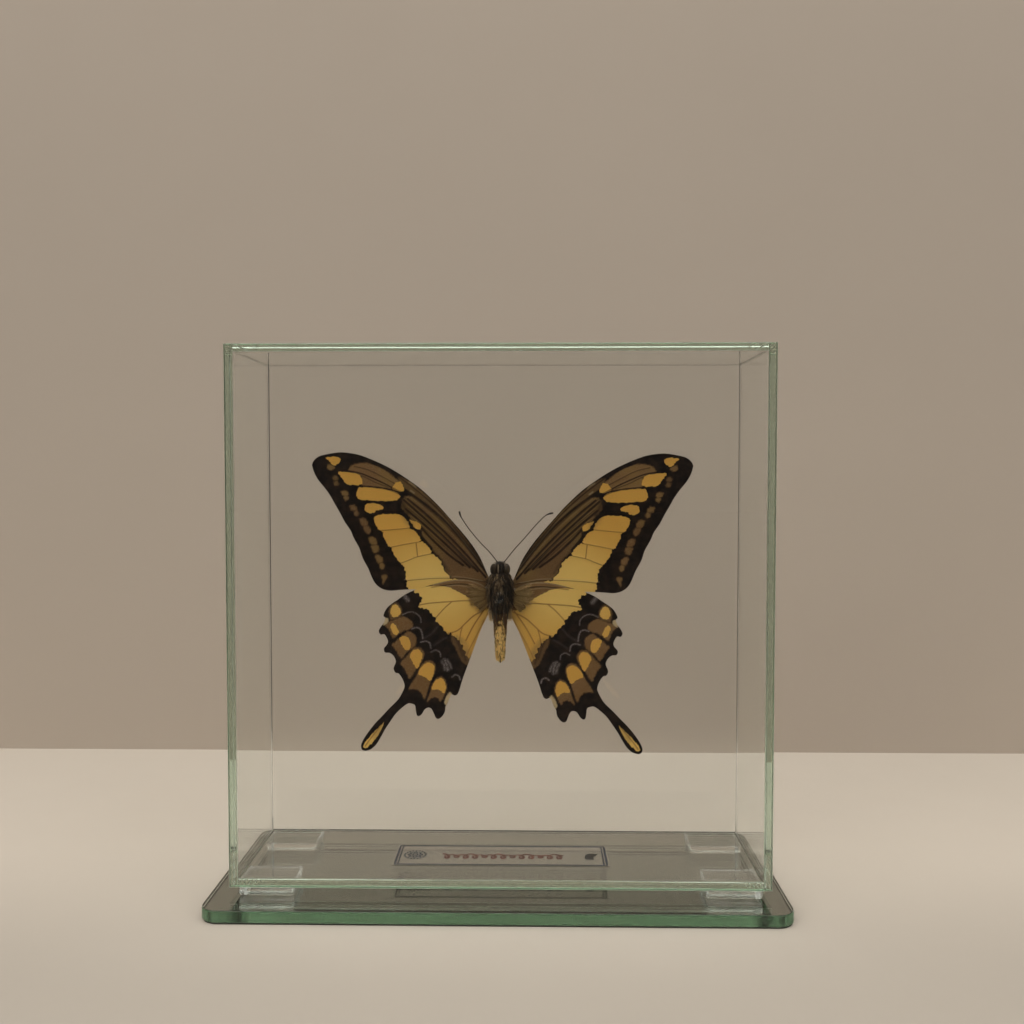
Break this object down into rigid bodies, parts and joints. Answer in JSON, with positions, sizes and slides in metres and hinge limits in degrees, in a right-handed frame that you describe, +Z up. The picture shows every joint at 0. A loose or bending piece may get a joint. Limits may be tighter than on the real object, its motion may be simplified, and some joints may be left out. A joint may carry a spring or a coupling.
{
  "type": "butterfly in a glass display case",
  "caption": "Closed flat-paned glass display case on a mirror base plate, holding a spread swallowtail butterfly that shows its underside.",
  "frame": {"origin": "on the mirror base's underside, below the middle of the case", "axes": "+Z up, +X along the case's width, -Y out of the pane that the butterfly's underside faces"},
  "size_m": [0.171, 0.0684, 0.1665],
  "materials": {
    "mirror_glass": "back-silvered float glass, polished green edge",
    "clear_glass": "clear float glass with green ground edges",
    "clear_pad": "clear, smooth, slightly uneven edges",
    "printed_film": "clear film with dark blue and red-brown print",
    "insect_body": "dark hairy thorax, straw-yellow scaled abdomen",
    "forewing_scales": "matt wing scales, dark brown with ochre-yellow cells",
    "hindwing_scales": "matt wing scales, ochre-yellow with a black and blue-grey border",
    "antenna_shell": "dark, fine, clubbed at the tip",
    "clear_adhesive": "clear, glossy, rounded"
  },
  "bodies": {
    "root": {"mirror_base": "mirror_glass", "pad_front_left": "clear_pad", "pad_front_right": "clear_pad", "pad_back_left": "clear_pad", "pad_back_right": "clear_pad", "bottom_pane": "clear_glass", "top_pane": "clear_glass", "front_pane": "clear_glass", "back_pane": "clear_glass", "left_pane": "clear_glass", "right_pane": "clear_glass", "label": "printed_film", "butterfly_body": "insect_body", "forewing_left": "forewing_scales", "forewing_right": "forewing_scales", "hindwing_left": "hindwing_scales", "hindwing_right": "hindwing_scales", "antenna_left": "antenna_shell", "antenna_right": "antenna_shell", "glue_dot": "clear_adhesive"}
  },
  "joints": []
}
